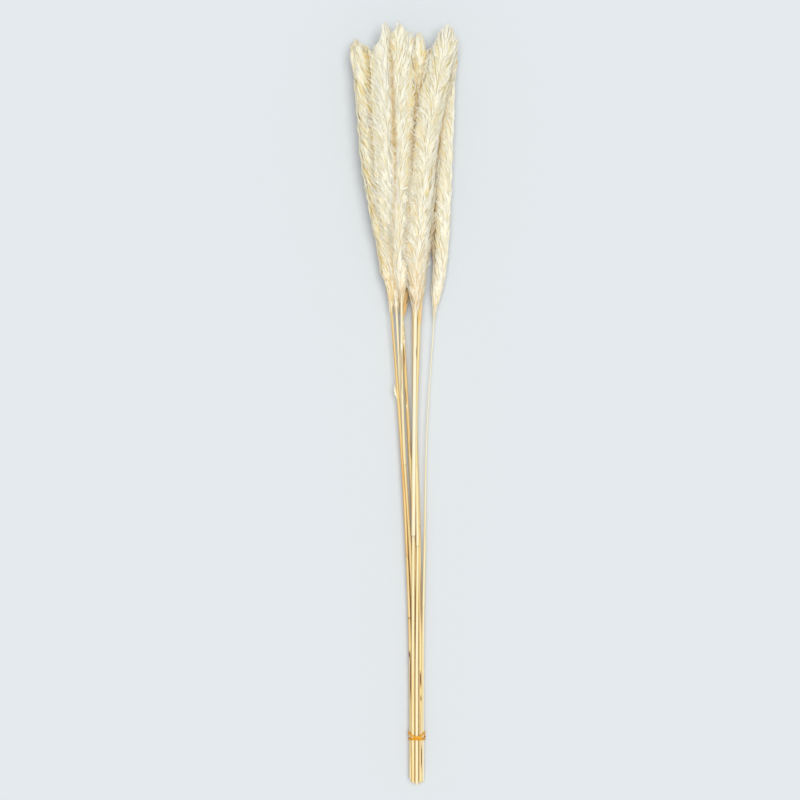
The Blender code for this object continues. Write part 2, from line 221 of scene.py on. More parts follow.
# Culms
STRAW_SIDES = 20
STRAW_STEP = 4.0
PITH_SHARE = 0.66
PITH_DEPTH = 0.5
FLAKE_Y = 5.0
FLAKE_LENGTH = 14.0
FLAKE_REACH = 4.2
FLAKE_SIDES = 8
FLAKE_RINGS = 15
JOINT_STEPS = (-3, -1.6, -0.8, 0, 0.8, 1.6, 3)
SHEATH_STEPS = (-4, -2, -1, -0.3, 0.3, 1, 2)
STAIN_AND_SHADE_STEPS = (-1.2, -0.5, 0, 0.5, 1.2)

# Culms that show thinner than their solids: shares of the way up, and of the radius.
THINNED = {"h": ((0, 0.45, 0.6, 0.7, 0.85, 0.95, 1), (0.95, 0.85, 0.7, 0.6, 0.55, 0.75, 0.9))}

# How pale each culm is at its cut end, half way and at its plume, from 0 for brown to 1 for cream.
PALENESS = {
    "a": (0.62, 0.32, 0.42), "c": (0.4, 0.4, 0.45), "d": (0.5, 0.55, 0.8), "e": (0.5, 0.5, 0.82),
    "f": (0.76, 0.6, 0.5), "g": (0.48, 0.7, 0.78), "h": (0.8, 0.6, 0.9), "i": (0.45, 0.4, 0.45),
    "j": (0.55, 0.45, 0.42), "k": (0.45, 0.42, 0.42),
}

# Stains, and on culm a one streak of painted shade: y, half length, angle round the culm, half width in
# degrees, how brown (below 0: how white).
STAINS_AND_SHADE = {
    # Culm a's streak at y -268 along its top, beside culm g, is painted shade; its other marks are stains.
    "a": ((-247, 2.5, 150, 40, 0.9), (-268, 18, 90, 22, 1.0), (-182, 50, 30, 30, 1.0),
          (-310, 30, 98, 14, 0.4), (60, 30, 120, 25, 0.3)),
    "e": ((42, 9, 90, 22, 0.6), (22, 8, 110, 18, 0.5), (57, 2, 90, 90, -0.6), (-10, 20, 130, 20, 0.35),
          (-95, 40, 60, 18, 0.4)),
    "f": ((-230, 90, 5, 16, 0.5), (-180, 60, 165, 18, 0.5)),
    "g": ((51, 4, 28, 20, 0.8), (20, 60, 170, 20, 0.4), (-300, 40, 8, 14, 0.45)),
    "h": ((-220, 60, 165, 25, 0.5), (-350, 14, 172, 22, 0.5)),
    "j": ((-271, 6, 90, 20, 1.2), (-290, 2, 80, 24, 0.7), (-348, 9, 62, 14, 1.1), (-318, 16, 100, 14, 0.4),
          (-190, 22, 60, 30, 0.6)),
    "k": ((48, 8, 120, 28, 0.8), (8, 5, 140, 24, 0.8), (-43, 8, 60, 24, 0.6), (88, 1.3, 90, 60, -0.9),
          (80, 1.0, 70, 40, -0.8), (70, 1.2, 110, 40, -0.9), (62, 1.0, 80, 50, -0.9),
          (-2, 1.2, 140, 40, -0.9)),
}

# How plainly a culm's joint shows, and how strong the painted shade on its sides is, where that isn't as on
# the others.
PLAIN_JOINT = 0.4
JOINTS = {"a": 1.0, "e": 0.3, "h": 0.15}
SIDE_SHADE = {"a": 0.5, "h": 0.15}

# Rubber band, closer and thinner than in the solids. Its upper strand is wider and sags in the middle.
BAND_RINGS = 300
BAND_SIDES = 12
BAND_TURNS = 3
TURN_STEPS = 1200
SHOWN_THICK = 0.8
SHOWN_WIDE = (1.7, 1.0)
SHOWN_GAP = 0.14
SHOWN_Y = -329.3
SHOWN_SPREAD = 0.62
SAG = 4.6


# The line that each stem follows

def slopes(stations, values):
    """Slopes that keep a curve through the values from overshooting them."""
    steps = np.diff(stations)
    grades = np.diff(values) / steps
    result = np.zeros(len(stations))
    result[0] = grades[0]
    result[-1] = grades[-1]
    for knot in range(1, len(stations) - 1):
        before, after = grades[knot - 1], grades[knot]
        if before * after > 0:
            near = 2 * steps[knot] + steps[knot - 1]
            far = steps[knot] + 2 * steps[knot - 1]
            result[knot] = (near + far) / (near / before + far / after)
    return result


class Line:
    """The middle line of a stem: x and z at any y."""

    def __init__(self, stem):
        column, row = stem.slot
        x = TIE_X + column * PITCH
        z = TIE_Z + row * ROW
        self.bow = stem.bow
        self.stations = np.array([CUT_Y, *TIE_RUN, stem.neck[1], stem.belly[1], stem.tip[1]])
        self.values = (
            np.array([x, x, x, stem.neck[0], stem.belly[0], stem.tip[0]]) + SHIFT_X,
            np.array([z, z, z, stem.neck[2], stem.belly[2], stem.tip[2]]),
        )
        self.slopes = [slopes(self.stations, values) for values in self.values]

    def at(self, y):
        knot = np.clip(np.searchsorted(self.stations, y) - 1, 0, len(self.stations) - 2)
        step = self.stations[knot + 1] - self.stations[knot]
        t = (y - self.stations[knot]) / step
        spots = []
        for values, grades in zip(self.values, self.slopes):
            spots.append(
                (2 * t**3 - 3 * t**2 + 1) * values[knot]
                + (t**3 - 2 * t**2 + t) * step * grades[knot]
                + (3 * t**2 - 2 * t**3) * values[knot + 1]
                + (t**3 - t**2) * step * grades[knot + 1]
            )
        neck_y = self.stations[3]
        bend = np.clip((y - BOW_FOOT) / (neck_y - BOW_FOOT), 0, 1)
        spots[0] = spots[0] + self.bow * np.sin(math.pi * bend) ** 2
        return np.stack(spots, axis=-1)


LINES = {stem.name: Line(stem) for stem in STEMS}


def culm_radius(stem, y):
    """The bare culm: it thins towards the plume and again inside it."""
    neck_y = stem.neck[1]
    share = np.clip((y - CUT_Y) / (neck_y - CUT_Y), 0, 1)
    radius = CULM_RADIUS + (stem.neck_radius - CULM_RADIUS) * share
    return radius + (PLUG_RADIUS - stem.neck_radius) * np.clip((y - neck_y) / 6.0, 0, 1)


def head_radius(stem, y):
    share = (y - stem.neck[1]) / (stem.tip[1] - stem.neck[1])
    return stem.girth * np.interp(share, PROFILE_T, PROFILE_R)


def room(stem, y, angle):
    """How far a plume reaches at y in a direction round its middle line, clear of what lies near."""
    middle = LINES[stem.name].at(y)
    own = head_radius(stem, y) * (1 + SQUARENESS * np.sin(2 * angle) ** 2)
    out = directions(angle) * own[:, None]
    to_heads, to_culms = np.full((2, len(own)), 0.01)
    for other in STEMS:
        if other is stem:
            continue
        away = LINES[other.name].at(y) - middle
        distance = np.linalg.norm(away, axis=1)
        towards = np.sum(out * away, axis=1) / distance
        bare = y < other.neck[1] + NECK_GAP
        to_culm = towards / np.maximum(distance - culm_radius(other, y) - FLOOR_GAP, 0.1)
        to_culms = np.maximum(to_culms, np.where(bare, to_culm, 0))
        to_head = towards / (distance * own / (own + head_radius(other, y)) + OVERLAP)
        to_heads = np.maximum(to_heads, np.where(bare | (y > other.tip[1]), 0, to_head))
    drawn = np.clip((to_heads - DRAWN[0]) / (DRAWN[1] - DRAWN[0]), 0, 1) ** 2
    drawn = np.where(to_heads > 1, 1, drawn * np.clip((y - stem.neck[1]) / DRAWN_FROM, 0, 1))
    reach = own * (1 + (1 / to_heads - 1) * drawn)
    reach = np.minimum(reach, own / np.maximum(to_culms, 0.01))
    to_floor = np.maximum(middle[:, 1] - FLOOR_GAP, 0.1) / np.maximum(-np.sin(angle), 0.01)
    return np.minimum(np.minimum(reach, to_floor), outline_limit(stem, y, np.cos(angle)))


def outline_limit(stem, y, sideways):
    """How far a plume reaches inside the bunch's edges and its own top, where a direction goes sideways."""
    left, right = (np.interp(y, *np.array(edge).T[::-1]) for edge in EDGES)
    left, right = left + EDGE_GAP - TOOTH * tooth(y), right - EDGE_GAP + TOOTH * tooth(y + 2.0)
    if stem.name in CROWNS:
        outline = np.array(CROWNS[stem.name])
        x = np.linspace(outline[0, 0], outline[-1, 0], CROWN_STEPS[0])
        edge = np.interp(x, *outline.T)
        levels = np.linspace(edge.min(), edge.max(), CROWN_STEPS[1])
        inside = edge >= levels[:, None]
        top_left = np.interp(y, levels, x[np.argmax(inside, axis=1)])
        top_right = np.interp(y, levels, x[::-1][np.argmax(inside[:, ::-1], axis=1)])
        left = np.where(y > levels[0], np.maximum(left, top_left), left)
        right = np.where(y > levels[0], np.minimum(right, top_right), right)
    middle = LINES[stem.name].at(y)[:, 0] - SHIFT_X
    limit = np.where(sideways < 0, middle - left, right - middle)
    return np.maximum(limit, 0.5) / np.maximum(np.abs(sideways), 0.01)


def tooth(y):
    """How far out the ragged edge lies, from 0 to 1: barb by barb it runs out and springs back."""
    step = y / TOOTH_STEP + 0.35 * np.sin(y / 7.3) + 0.2 * np.sin(y / 2.9)
    return (step % 1) * (0.55 + 0.45 * np.sin(1.7 * np.floor(step)))


def directions(angle):
    return np.stack([np.cos(angle), np.sin(angle)], axis=-1)


def circle(sides):
    return 2 * math.pi * np.arange(sides) / sides


def unit(vectors):
    return vectors / np.linalg.norm(vectors, axis=-1, keepdims=True)


def aside_of(stem, x, y):
    """How far an x of the outlines lies to the side of a stem's middle line at y."""
    return x + SHIFT_X - LINES[stem.name].at(y)[:, 0]


# Meshes

def make_piece(name, points, triangles, values, material, outward=None):
    """
    Makes an object from points in millimetres and triangles, with values at its points.
    Its shading leans to the outward directions, where given, as that of many hairs together does.
    """
    mesh = bpy.data.meshes.new(name)
    mesh.vertices.add(len(points))
    mesh.vertices.foreach_set("co", (points * MM).astype(np.float32).ravel())
    mesh.loops.add(3 * len(triangles))
    mesh.loops.foreach_set("vertex_index", triangles.astype(np.int32).ravel())
    mesh.polygons.add(len(triangles))
    mesh.polygons.foreach_set("loop_start", np.arange(0, 3 * len(triangles), 3, dtype=np.int32))
    mesh.update(calc_edges=True)
    mesh.shade_smooth()
    for kind, numbers in values.items():
        numbers = np.asarray(numbers, np.float32)
        form, field = ("FLOAT", "value") if numbers.ndim == 1 else ("FLOAT_VECTOR", "vector")
        mesh.attributes.new(kind, form, "POINT").data.foreach_set(field, numbers.ravel())
    if outward is not None:
        normals = np.empty(3 * len(points), np.float32)
        mesh.vertex_normals.foreach_get("vector", normals)
        normals = unit(normals.reshape(-1, 3) + SILKINESS * outward)
        mesh.normals_split_custom_set_from_vertices(normals)
    mesh.materials.append(material)
    return add_object(name, mesh)


def add_object(name, data):
    obj = bpy.data.objects.new(name, data)
    bpy.context.scene.collection.objects.link(obj)
    return obj


def joined(parts):
    """Joins parts, each of points, triangles and values, into one."""
    points = np.concatenate([part[0] for part in parts])
    starts = np.cumsum([0] + [len(part[0]) for part in parts[:-1]])
    triangles = np.concatenate([part[1] + start for part, start in zip(parts, starts)])
    values = {kind: np.concatenate([part[2][kind] for part in parts]) for kind in parts[0][2]}
    return points, triangles, values


def tube_triangles(rings, sides, closed=False):
    """The triangles of a tube whose points are stored ring by ring, with fans over open ends."""
    steps = rings if closed else rings - 1
    ring, side = np.meshgrid(np.arange(steps), np.arange(sides), indexing="ij")
    here = ring * sides
    there = (ring + 1) % rings * sides
    after = (side + 1) % sides
    first = np.stack([here + side, here + after, there + after], axis=-1).reshape(-1, 3)
    second = np.stack([here + side, there + after, there + side], axis=-1).reshape(-1, 3)
    triangles = [first, second]
    if not closed:
        fan = np.arange(1, sides - 1)
        triangles.append(np.stack([0 * fan, fan + 1, fan], axis=-1))
        triangles.append(np.stack([0 * fan, fan, fan + 1], axis=-1) + (rings - 1) * sides)
    return np.concatenate(triangles)


def spindles(line, radius, side, up, sides):
    """Closed spindles along lines of points, with a ring at each inner one: their points and triangles."""
    count, stations = line.shape[:2]
    each = (stations - 2) * sides + 2
    points = np.empty((count, each, 3))
    points[:, 0] = line[:, 0]
    points[:, -1] = line[:, -1]
    for corner, turn in enumerate(circle(sides)):
        out = math.cos(turn) * side + math.sin(turn) * up
        points[:, 1 + corner:-1:sides] = line[:, 1:-1] + radius[:, :, None] * out
    faces = []
    last = each - 1
    for corner in range(sides):
        after = (corner + 1) % sides
        faces.append((0, 1 + corner, 1 + after))
        faces.append((last, last - sides + after, last - sides + corner))
        for here in range(1, last - sides, sides):
            there = here + sides
            faces.append((here + corner, there + after, here + after))
            faces.append((here + corner, there + corner, there + after))
    triangles = np.array(faces) + each * np.arange(count)[:, None, None]
    return points.reshape(-1, 3), triangles.reshape(-1, 3)


# Plumes

# Reaches are shares of the plume's room, or millimetres on a free barb, which nothing presses.
Barbs = collections.namedtuple(
    "Barbs", "root_y tip_y root_angle tip_angle root_reach tip_reach girth light free")


def tufts_of(stem):
    """The solids' pointed tufts: root, tip, angle round the plume, half width and reach at the tip."""
    rng = random.Random(SEED + ord(stem.name))
    start, end = stem.neck[1], stem.tip[1]
    turn = rng.uniform(0, 2 * math.pi)
    tufts = []

    def add(root_y, tip_y, angle):
        half = LOCK_WIDTH * stem.girth / 2 * rng.uniform(0.85, 1.1)
        tufts.append((root_y, tip_y, turn + angle, half, rng.uniform(0.96, 1.08)))

    for index in range(stem.locks):
        share = LAST_ROOT * (index + rng.uniform(0, 0.6)) / stem.locks
        root_y = start + share * (end - start)
        length = LOCK_LENGTH[0] + (LOCK_LENGTH[1] - LOCK_LENGTH[0]) * share
        tip_y = min(root_y + length * rng.uniform(0.85, 1.15), end)
        add(root_y, tip_y, index * GOLDEN_ANGLE)
    for index, angle in enumerate(circle(3)):
        tip_y = end - 3 * index
        add(tip_y - TIP_LOCK_LENGTH, tip_y, angle)
    return np.array(tufts)


def swept_from(angle, parting, sweep):
    """Where a barb that ends at an angle round the plume starts: nearer to the parting on its side."""
    away = from_parting(angle, parting)
    return angle - np.sign(away) * np.minimum(np.abs(away), sweep)


def from_parting(angle, parting):
    """The angle from the parting on this side of the plume, or from the one opposite."""
    return (angle - parting + math.pi / 2) % math.pi - math.pi / 2


def tuft_barbs(stem, parting, rng):
    """A fan of barbs in each tuft, which closes towards the tuft's point."""
    tufts = np.repeat(tufts_of(stem), TUFT_BARBS, axis=0)
    root_y, tip_y, angle, half, tip_share = tufts.T
    count = len(tufts)
    number = np.tile(np.arange(TUFT_BARBS), count // TUFT_BARBS)
    lane = 2 * ((number + rng.uniform(0, 1, count)) / TUFT_BARBS) - 1
    length = tip_y - root_y
    end = (1 - 0.6 * np.abs(lane) ** 1.3) * rng.uniform(0.88, 1.0, count)
    end_y = root_y + length * end
    ridge = np.interp(end, (0.3, 1.0), (LOCK_RIDGE, 1.0)) * tip_share
    wide = np.maximum(head_radius(stem, end_y), 2)
    tip_angle = angle + np.sign(lane) * half * (1 - end) * 1.15 / wide
    return Barbs(
        end_y - rng.uniform(*BARB_LENGTH, count),
        end_y,
        swept_from(tip_angle, parting, SWEEP * rng.uniform(0.5, 1.1, count)),
        tip_angle,
        rng.uniform(0.62, 0.84, count),
        ridge * rng.uniform(0.9, 1.03, count),
        rng.uniform(*BARB_RADIUS, count),
        0.4 * np.repeat(rng.uniform(0, 1, count // TUFT_BARBS), TUFT_BARBS)
        + rng.uniform(0, 0.6, count),
        np.zeros(count, bool),
    )


def coat_barbs(stem, parting, rng):
    """Barbs all over the plume, between the tufts."""
    start, finish = stem.neck[1], stem.tip[1]
    count = COAT_BARBS["front" if stem.name in FRONT else "hidden"]
    index = np.arange(count)
    share = (index + rng.uniform(0, 1, count)) / count
    first = start - 1 + share * (finish - start) * 0.94
    last = np.minimum(first + rng.uniform(*BARB_LENGTH, count), finish)
    tip_angle = index * GOLDEN_ANGLE * 1.7 + rng.uniform(-0.4, 0.4, count)
    tip_angle += FLANK_SHIFT * np.sin(2 * (tip_angle - parting))
    return Barbs(
        first,
        last,
        swept_from(tip_angle, parting, SWEEP * rng.uniform(0.2, 1.2, count)),
        tip_angle,
        rng.uniform(0.6, 0.8, count),
        rng.uniform(0.84, 1.05, count),
        rng.uniform(*BARB_RADIUS, count),
        rng.uniform(0, 1, count),
        np.zeros(count, bool),
    )


def neck_barbs(stem, rng):
    """The lowest barbs, which leave the culm itself."""
    first = stem.neck[1] + rng.uniform(*NECK_ROOTS, NECK_BARBS)
    last = first + rng.uniform(*NECK_LENGTH, NECK_BARBS)
    angle = np.arange(NECK_BARBS) * GOLDEN_ANGLE
    return Barbs(
        first,
        last,
        angle + rng.uniform(-0.3, 0.3, NECK_BARBS),
        angle,
        (culm_radius(stem, first) + 0.1) / room(stem, first, angle),
        np.maximum(rng.uniform(0.75, 1.0, NECK_BARBS), 2.0 / room(stem, last, angle)),
        rng.uniform(*BARB_RADIUS, NECK_BARBS) * 0.8,
        rng.uniform(0, 1, NECK_BARBS),
        np.zeros(NECK_BARBS, bool),
    )


def crown_barbs(stem, rng):
    """A fan of barbs that fills the outline of the plume's top."""
    outline = np.array(CROWNS[stem.name])
    run = np.concatenate([[0], np.cumsum(np.linalg.norm(np.diff(outline, axis=0), axis=1))])
    at_point = rng.uniform(0, 1, CROWN_BARBS) < CROWN_POINTED
    points = run[rng.integers(0, len(outline), CROWN_BARBS)] + rng.normal(0, 0.4, CROWN_BARBS)
    spot = np.where(at_point, points, rng.uniform(0, run[-1], CROWN_BARBS))
    x, edge = np.interp(spot, run, outline[:, 0]), np.interp(spot, run, outline[:, 1])
    last = edge + 1.2 - 9.0 * rng.uniform(0, 1, CROWN_BARBS) ** 2
    first = last - rng.uniform(*CROWN_LENGTH, CROWN_BARBS)
    thick = np.minimum(1.2 + 0.5 * (outline[:, 1].max() - last), 6.0)
    tip = np.stack([aside_of(stem, x, last), thick * rng.uniform(-1, 1, CROWN_BARBS)], axis=-1)
    root = tip * (0.55, 0.9) + rng.uniform(-1.2, 1.2, (CROWN_BARBS, 2))
    return free_barbs(first, last, root, tip, rng)


def stray_barbs(stem, rng):
    """The few barbs that lie across the plume."""
    ends = np.array(STRAYS[stem.name])
    first, last = ends[:, 0, 1], ends[:, 1, 1]
    height = 1.1 * head_radius(stem, first)
    root, tip = (
        np.stack([aside_of(stem, *ends[:, end].T), height + 0.8 * end], axis=-1)
        for end in (0, 1)
    )
    return free_barbs(first, last, root, tip, rng)._replace(light=np.full(len(first), 0.85))


def fan_barbs(stem, rng):
    """The golden barbs of the fan at the plume's neck."""
    count, roots, sides, tips = NECK_FANS[stem.name]
    first = rng.uniform(*roots, count)
    last = np.maximum(rng.uniform(*tips, count), first + 12)
    aside = aside_of(stem, rng.uniform(*sides, count), last)
    tip = np.stack([aside, rng.uniform(-2, 3, count)], axis=-1)
    root = np.stack([0.6 * np.sign(aside), rng.uniform(0.2, 1, count)], axis=-1)
    return free_barbs(first, last, root, tip, rng)._replace(light=rng.uniform(0, 0.3, count))


def free_barbs(first, last, root, tip, rng):
    """Barbs given by the y of their ends and by how far these lie off the middle line in x and z."""
    count = len(first)
    return Barbs(
        first,
        last,
        np.arctan2(root[:, 1], root[:, 0]),
        np.arctan2(tip[:, 1], tip[:, 0]),
        np.hypot(*root.T),
        np.hypot(*tip.T),
        FREE_GIRTH * rng.uniform(*BARB_RADIUS, count),
        rng.uniform(0.3, 1, count),
        np.ones(count, bool),
    )


def barbs_of(stem, rng):
    """The silky barbs, which all lean to the tip and sweep from a parting to the plume's sides."""
    parting = math.radians(PARTINGS[stem.name])
    kinds = [tuft_barbs(stem, parting, rng), coat_barbs(stem, parting, rng), neck_barbs(stem, rng)]
    if stem.name in CROWNS:
        kinds.append(crown_barbs(stem, rng))
    if stem.name in STRAYS:
        kinds.append(stray_barbs(stem, rng))
    if stem.name in NECK_FANS:
        kinds.append(fan_barbs(stem, rng))
    return Barbs(*(np.concatenate(kind) for kind in zip(*kinds)))


def on_barbs(stem, barbs, which, share, away=0.0, spin=0.0):
    """Points at shares along barbs, set off from them by a distance at an angle round the barb."""
    share = np.clip(share, 0, 1.12)
    y = barbs.root_y[which] + (barbs.tip_y - barbs.root_y)[which] * share
    angle = barbs.root_angle[which] + (barbs.tip_angle - barbs.root_angle)[which] * share
    rise = 1 - (1 - np.minimum(share, 1)) ** BARB_RISE
    reach = barbs.root_reach[which] + (barbs.tip_reach - barbs.root_reach)[which] * rise
    swept = directions(angle) * (reach * room(stem, y, angle))[:, None]
    root = directions(barbs.root_angle) * barbs.root_reach[:, None]
    tip = directions(barbs.tip_angle) * barbs.tip_reach[:, None]
    straight = root[which] + (tip - root)[which] * share[:, None]
    offsets = np.where(barbs.free[which][:, None], straight, swept)
    reach = np.maximum(np.linalg.norm(offsets, axis=1), 0.1)
    out = offsets / reach[:, None]
    least = np.where(y < stem.neck[1] + SOCKET_DEPTH + 2, culm_radius(stem, y) + 0.3, 0.3)
    reach = np.maximum(reach + away * np.cos(spin), least)
    aside = np.stack([-out[:, 1], out[:, 0]], axis=-1) * np.reshape(away * np.sin(spin), (-1, 1))
    spots = LINES[stem.name].at(y) + out * reach[:, None] + aside
    return np.stack([spots[:, 0], y, np.maximum(spots[:, 1], 0.05)], axis=-1)


# The silk's values: tone rises along a barb, its golden roots partly the hair's own colour and partly
# painted shade where they lie deep, light differs by barb and fleck by hair, comb is the place in the body's
# pattern, ripe marks golden tips, the crease value is painted shade between plumes and under them, and warm
# the neck's gold.

def barb_values(barbs, which, along, fleck):
    """The values at shares along barbs. A few of the free barbs have golden tips."""
    golden = barbs.free & (barbs.light > RIPE_LIGHT)
    return {
        # Low tone at a barb's root shows golden: partly the hair's own colour, partly painted shade where
        # the roots lie deep.
        "tone": along,
        "light": barbs.light[which],
        "fleck": fleck,
        "comb": np.zeros((len(which), 3)),
        "ripe": along * golden[which] > RIPE_FROM,
    }


def make_spindles(stem, barbs):
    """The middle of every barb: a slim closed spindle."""
    count, stations = len(barbs.root_y), len(BARB_STATIONS)
    which = np.repeat(np.arange(count), stations)
    line = on_barbs(stem, barbs, which, np.tile(BARB_STATIONS, count)).reshape(count, stations, 3)
    ahead = unit(line[:, 2:] - line[:, :-2])
    angle = barbs.tip_angle
    out = np.stack([np.cos(angle), 0 * angle, np.sin(angle)], axis=-1)[:, None]
    side = unit(np.cross(ahead, out))
    up = BARB_FLATNESS * np.cross(side, ahead)
    radius = barbs.girth[:, None] * np.array(BARB_SWELL)
    points, triangles = spindles(line, radius, side, up, BARB_SIDES)
    root, *inner, tip = BARB_STATIONS
    along = np.tile([root, *np.repeat(inner, BARB_SIDES), tip], count)
    which = np.repeat(np.arange(count), len(along) // count)
    return points, triangles, barb_values(barbs, which, along, np.full(len(which), 0.8))


def make_hairs(stem, barbs, rng):
    """The hairs of every barb: they leave it one after another and lie along it, spread a little."""
    count = len(barbs.root_y)
    which = np.repeat(np.arange(count), HAIRS)
    total = len(which)
    length = (barbs.tip_y - barbs.root_y)[which]
    start = 0.1 + (np.tile(np.arange(HAIRS), count) + rng.uniform(0, 1, total)) / HAIRS * 0.75
    end = np.minimum(start + rng.uniform(*HAIR_LENGTH, total) / length, rng.uniform(0.95, 1.1, total))
    spin = rng.uniform(0, 2 * math.pi, total)
    spread = HAIR_SPREAD * rng.uniform(0.5, 1.0, total) * (1 - 0.7 * np.clip(end, 0, 1) ** 3)
    base = on_barbs(stem, barbs, which, start, 0.2, spin)
    middle = on_barbs(stem, barbs, which, (start + end) / 2, 0.72 * spread, spin)
    tip = on_barbs(stem, barbs, which, end, spread, spin)
    run = unit(tip - base)
    side = unit(np.cross(run, np.where(np.abs(run[:, 2:]) < 0.8, (0.0, 0.0, 1.0), (1.0, 0.0, 0.0))))
    line, up = np.stack([base, middle, tip], axis=1), np.cross(side, run)
    radius = rng.uniform(*HAIR_RADIUS, (total, 1))
    points, triangles = spindles(line, radius, side[:, None], up[:, None], HAIR_SIDES)
    along = np.stack([start, *[(start + end) / 2] * HAIR_SIDES, end], axis=1).ravel()
    which = np.repeat(which, HAIR_SIDES + 2)
    fleck = np.repeat(rng.uniform(0, 1, total), HAIR_SIDES + 2)
    return points, triangles, barb_values(barbs, which, along, fleck)


def make_body(stem, rng):
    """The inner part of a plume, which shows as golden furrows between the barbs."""
    start = stem.neck[1] + 1.0
    end = stem.tip[1] - 7
    y = np.repeat(np.linspace(start, end, BODY_RINGS), BODY_SIDES)
    angle = np.tile(circle(BODY_SIDES), BODY_RINGS)
    furrow = np.zeros(len(y))
    for turns in BODY_FURROWS:
        slope = rng.uniform(4.5, 6.5)
        for way in (1, -1):
            furrow += np.cos(turns * angle + way * (y * turns / slope / 4) + rng.uniform(0, 6))
    radius = BODY_SHARE * room(stem, y, angle) * (1 + FURROW_DEPTH * furrow)
    radius *= np.clip((end - y) / 11 + 0.1, 0, 1)
    bare = culm_radius(stem, y) + 0.25
    radius = bare + (np.maximum(radius, bare) - bare) * np.clip((y - start) / 16, 0, 1)
    points = ring_points(stem, y, angle, radius)
    slant = COMB_SLOPE * np.abs(from_parting(angle, math.radians(PARTINGS[stem.name])))
    half = np.full(len(points), 0.5)
    values = {
        # The body's low tone shows golden, partly its own colour and partly painted shade in the gaps
        # between barbs; lower in its furrows, as painted shade.
        "tone": 0.2 + 0.05 * furrow,
        "light": half,
        "fleck": half,
        "comb": np.stack([y - slant, y * COMB_STRETCH, COMB_WIDTH * np.cos(angle)], axis=-1),
        "ripe": np.zeros(len(points)),
    }
    return points, tube_triangles(BODY_RINGS, BODY_SIDES)[:, ::-1], values


def crease_shade_at(stem, points):
    """How much painted shade points of a plume get in the creases between plumes: near the next plume, or
    under one.
    """
    y = points[:, 1]
    spots = points[:, [0, 2]]
    middle = LINES[stem.name].at(y)
    own = np.linalg.norm(spots - middle, axis=1) / head_radius(stem, y)
    beside, covered = np.zeros(len(y)), np.zeros(len(y))
    for other in STEMS:
        if other is stem:
            continue
        here = (y > other.neck[1]) & (y < other.tip[1])
        away = LINES[other.name].at(y) - spots
        distance = np.linalg.norm(away, axis=1)
        radius = head_radius(other, y)
        lower = np.clip(1 + (LINES[other.name].at(y) - middle)[:, 1] / CREASE_SHADE_DROP, 0.5, 1)
        lower *= FAINT_CREASE_SHADES.get("".join(sorted(stem.name + other.name)), 1.0)
        near = np.exp(-((own * radius / distance - 1) / CREASE_SHADE_WIDTH) ** 4) * lower
        beside = np.maximum(beside, np.where(here, near, 0))
        covered += np.where(here, radius / distance * np.maximum(away[:, 1] / distance, 0), 0)
    plainness = np.interp(y, *CREASE_SHADE_PLAINNESS) * (0.9 + 0.1 * np.sin(y / 4))
    start, run, most = COVER_SHADE
    return np.maximum(beside * plainness, np.clip((covered - start) / run, 0, most))


def outward_from(stem, points):
    """Directions out of a plume, which also rise and lean to its tip."""
    out = points[:, [0, 2]] - LINES[stem.name].at(points[:, 1])
    out /= np.maximum(np.linalg.norm(out, axis=1), 0.01)[:, None]
    return np.stack([out[:, 0], np.full(len(out), LEAN_ALONG), out[:, 1] + LEAN_UP], axis=-1)


def make_plume(stem, material):
    rng = np.random.default_rng(SEED * 100 + ord(stem.name))
    barbs = barbs_of(stem, rng)
    parts = [make_spindles(stem, barbs), make_hairs(stem, barbs, rng), make_body(stem, rng)]
    points, triangles, values = joined(parts)
    values["light"] += PALER.get(stem.name, 0.0)
    values["fold"] = crease_shade_at(stem, points)
    # Painted shade on the necks of plumes that lie under others.
    if stem.name in DEEP_NECKS:
        values["fold"] = np.maximum(values["fold"], np.interp(points[:, 1], *NECK_SHADE))
    values["warm"] = WARMTH.get(stem.name, 1.0) * np.interp(points[:, 1], *WARM_ALONG)
    outward = outward_from(stem, points)
    plume = make_piece(f"plume_{stem.name}_silk", points, triangles, values, material, outward)
    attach(plume, "root")
    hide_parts("plume_" + stem.name)


# Culms

def culm_rings(stem):
    """The y of a culm's rings of points, closer where its form changes, and their shares of its radius."""
    joint, sheath_end, _ = stem.sheath
    cut = CUT_Y + stem.trim
    top = stem.neck[1] + SOCKET_DEPTH
    fine = [joint + step for step in JOINT_STEPS]
    fine += [sheath_end + step for step in SHEATH_STEPS]
    fine += [y + step * half for y, half, *_ in STAINS_AND_SHADE.get(stem.name, ()) for step in STAIN_AND_SHADE_STEPS]
    stations = np.unique(np.concatenate([np.arange(cut, top, STRAW_STEP), fine, [top]]))
    stations = stations[(stations >= cut) & (stations <= top)]
    shares = np.concatenate([(0.05, PITH_SHARE, PITH_SHARE + 0.08, 0.95), np.ones(len(stations))])
    pith = (cut + PITH_DEPTH, cut + PITH_DEPTH, cut, cut)
    return np.concatenate([pith, stations + 0.15 * (stations == cut)]), shares


def near(y, middle, half):
    return np.exp(-((y - middle) / half) ** 2)
